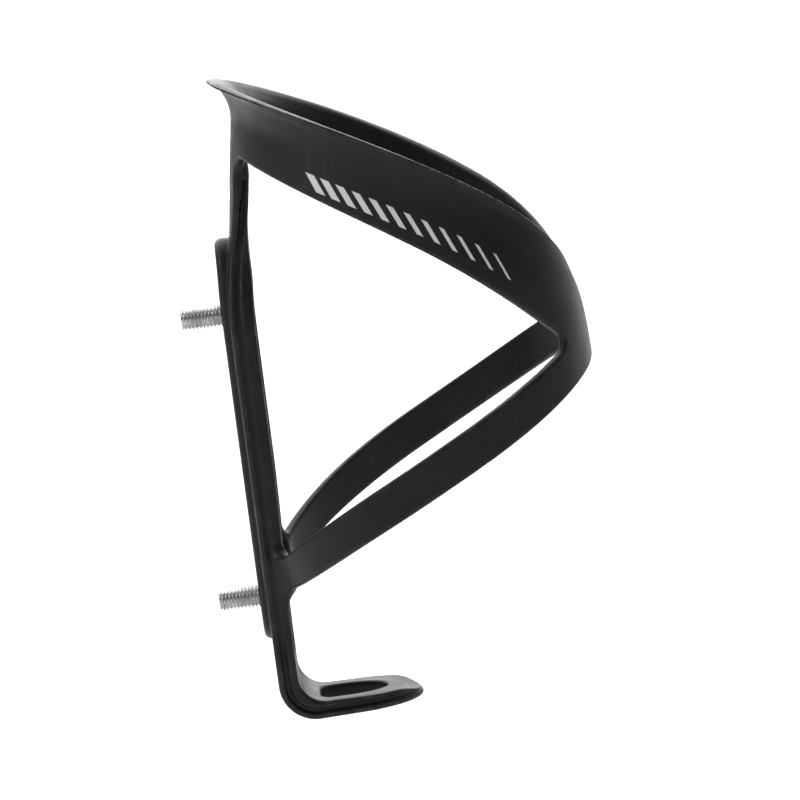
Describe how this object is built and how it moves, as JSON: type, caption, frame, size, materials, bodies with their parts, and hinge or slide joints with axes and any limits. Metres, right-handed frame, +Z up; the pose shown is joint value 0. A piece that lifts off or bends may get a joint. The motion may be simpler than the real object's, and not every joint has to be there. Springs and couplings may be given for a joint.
{
  "type": "water bottle cage",
  "caption": "Moulded bicycle bottle cage: slanted ring with a flared lip, nose, wrap-round arms, spine with slotted mounting pad and looped foot, held by M5 bolts with washers.",
  "frame": {"origin": "rear face of the mounting pad, midway between the bolts, where the cage meets the frame's bosses", "axes": "+Z up along the tube and the bottle, +Y out of the rear of the pad towards the bicycle's tube, X across the cage with the two sides mirrored"},
  "size_m": [0.0808, 0.0895, 0.1449],
  "materials": {
    "moulding": "black glass-filled nylon, satin with a fine moulded grain",
    "bolts": "plain stainless steel, turned",
    "washers": "plain stainless steel, punched"
  },
  "bodies": {
    "cage": {"cage_body": "moulding"},
    "upper_washer": {"upper_washer": "washers"},
    "upper_bolt": {"upper_bolt": "bolts"},
    "lower_washer": {"lower_washer": "washers"},
    "lower_bolt": {"lower_bolt": "bolts"}
  },
  "joints": [
    {"name": "upper_washer_slide", "type": "slide", "parent": "cage", "child": "upper_washer", "axis": [0, -1, 0], "range_m": [0, 0.012]},
    {"name": "upper_bolt_turn", "type": "hinge", "parent": "upper_washer", "child": "upper_bolt", "pos_m": [0, 0, 0.032], "axis": [0, -1, 0], "range_deg": [0, 5401]},
    {"name": "lower_washer_slide", "type": "slide", "parent": "cage", "child": "lower_washer", "axis": [0, -1, 0], "range_m": [0, 0.012]},
    {"name": "lower_bolt_turn", "type": "hinge", "parent": "lower_washer", "child": "lower_bolt", "pos_m": [0, 0, -0.032], "axis": [0, -1, 0], "range_deg": [0, 5401]}
  ],
  "couplings": [
    {"joint": "upper_bolt_turn", "follows": "upper_washer_slide", "rad_per_m": 7854},
    {"joint": "lower_bolt_turn", "follows": "lower_washer_slide", "rad_per_m": 7854}
  ]
}
